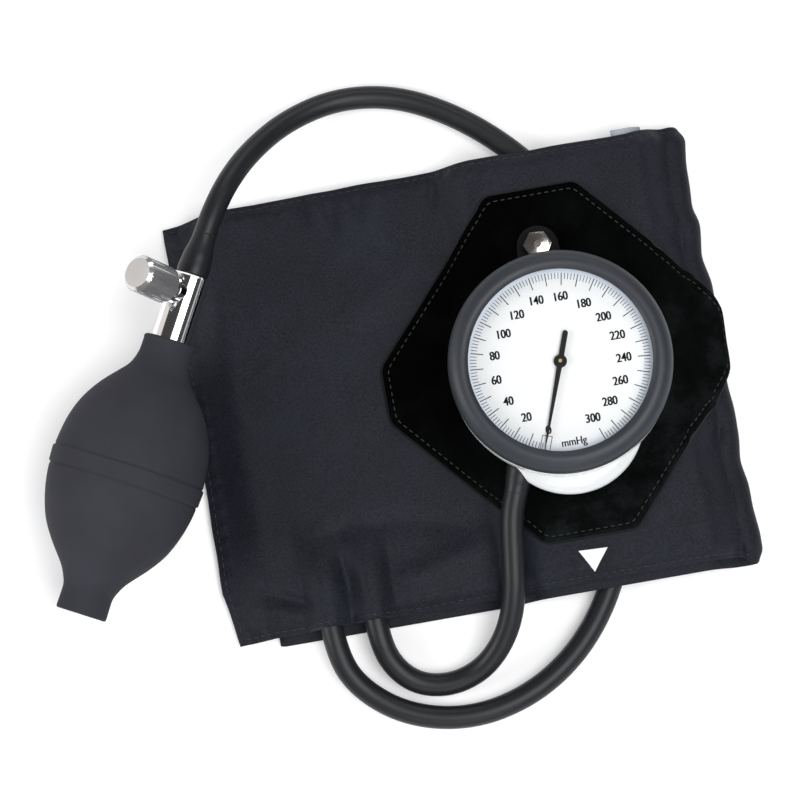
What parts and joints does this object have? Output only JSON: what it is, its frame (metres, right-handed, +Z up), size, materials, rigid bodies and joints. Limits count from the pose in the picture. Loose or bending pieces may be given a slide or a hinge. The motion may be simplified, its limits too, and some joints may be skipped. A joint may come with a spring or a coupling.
{
  "type": "aneroid sphygmomanometer",
  "caption": "Aneroid blood pressure set: folded black arm cuff with a round gauge bolted on its patch, a squeeze bulb with a release valve and two rubber hoses.",
  "frame": {"origin": "centre of the folded cuff's flat underside, on the table", "axes": "+Z up, away from the table; +X along the folded cuff towards its fold; +Y towards the gauge's twelve o'clock"},
  "size_m": [0.2375, 0.2233, 0.053],
  "materials": {
    "fabric_black": "matt woven nylon",
    "strip_black": "hook and loop pile",
    "tag_grey": "woven ribbon",
    "bladder_rubber": "smooth",
    "patch_leather": "fine grain, satin",
    "plate_steel": "satin",
    "bracket_black": "black satin paint",
    "bolt_nickel": "satin nickel plate",
    "screw_steel": "turned",
    "case_white": "glossy white",
    "brass": "satin",
    "capsule_copper": "thin corrugated sheet",
    "dial_white": "matt white enamel",
    "pointer_black": "matt black",
    "clear_lens": "clear acrylic",
    "bezel_rubber": "dark grey, satin",
    "bulb_rubber": "black, matt",
    "hose_rubber": "black, satin",
    "valve_chrome": "polished",
    "seal_black": "smooth"
  },
  "bodies": {
    "set": {"cuff_cover": "fabric_black", "bladder": "bladder_rubber", "hook_strip": "strip_black", "loop_strip": "strip_black", "size_tag": "tag_grey", "suede_patch": "patch_leather", "backing_plate": "plate_steel", "mounting_bracket": "bracket_black", "bolt_washer": "bolt_nickel", "hex_bolt": "bolt_nickel", "bracket_screws": "screw_steel", "case_foot": "case_white", "gauge_nipple": "brass", "gauge_case": "case_white", "foot_screws": "screw_steel", "capsule": "capsule_copper", "capsule_nut": "brass", "movement_bottom_plate": "brass", "movement_pillars": "brass", "movement_top_plate": "brass", "movement_screws": "screw_steel", "plate_screws": "screw_steel", "hairspring_stud": "brass", "dial_plate": "dial_white", "dial_spacer_ring": "case_white", "lens": "clear_lens", "bezel_ring": "bezel_rubber", "bulb": "bulb_rubber", "valve_body": "valve_chrome", "outlet_retainer": "brass", "intake_valve_body": "valve_chrome", "intake_retainer": "brass", "intake_filter": "screw_steel", "gauge_hose": "hose_rubber", "bulb_hose": "hose_rubber", "hose_connectors": "case_white"},
    "pointer_train": {"pointer": "pointer_black", "pinion_arbor": "brass", "hairspring": "screw_steel"},
    "sector_body": {"sector_gear": "brass"},
    "rocker_body": {"rocking_shaft": "screw_steel"},
    "push_pin_body": {"push_pin": "brass"},
    "screw_carrier": {"screw_o_ring": "seal_black"},
    "thumbscrew": {"needle_stem": "valve_chrome", "thumbscrew_knob": "valve_chrome"},
    "outlet_flap": {"outlet_disc": "seal_black"},
    "intake_flap": {"intake_disc": "seal_black"}
  },
  "joints": [
    {"name": "pointer_spin", "type": "hinge", "parent": "set", "child": "pointer_train", "pos_m": [0.0346, -0.0018, 0.046], "axis": [0, 0, -1], "range_deg": [0, 320.4], "deforming": ["hairspring"]},
    {"name": "sector_swing", "type": "hinge", "parent": "set", "child": "sector_body", "pos_m": [0.0281, 0.00481, 0.041], "axis": [0, 0, 1], "range_deg": [0, 37.7]},
    {"name": "rocker_swing", "type": "hinge", "parent": "set", "child": "rocker_body", "pos_m": [0.02686, -0.0018, 0.038], "axis": [0, 1, 0], "range_deg": [0, 26.01]},
    {"name": "push_pin_lift", "type": "slide", "parent": "set", "child": "push_pin_body", "axis": [0, 0, 1], "range_m": [0, 0.000801], "deforming": ["capsule"]},
    {"name": "screw_travel", "type": "slide", "parent": "set", "child": "screw_carrier", "axis": [-0.4962, 0.2264, 0.8382], "range_m": [0, 0.0012]},
    {"name": "screw_turn", "type": "hinge", "parent": "screw_carrier", "child": "thumbscrew", "pos_m": [-0.08442, 0.04527, 0.02824], "axis": [-0.4962, 0.2264, 0.8382], "range_deg": [0, 545]},
    {"name": "outlet_flap_lift", "type": "slide", "parent": "set", "child": "outlet_flap", "axis": [0.463, 0.8857, 0.0349], "range_m": [0, 0.001]},
    {"name": "intake_flap_lift", "type": "slide", "parent": "set", "child": "intake_flap", "axis": [0.463, 0.8857, 0.0349], "range_m": [0, 0.001]}
  ],
  "couplings": [
    {"joint": "sector_swing", "follows": "pointer_spin", "ratio": 0.11765},
    {"joint": "rocker_swing", "follows": "pointer_spin", "ratio": 0.081149},
    {"joint": "push_pin_lift", "follows": "pointer_spin", "m_per_rad": 0.00014306},
    {"joint": "screw_turn", "follows": "screw_travel", "rad_per_m": 7854}
  ]
}
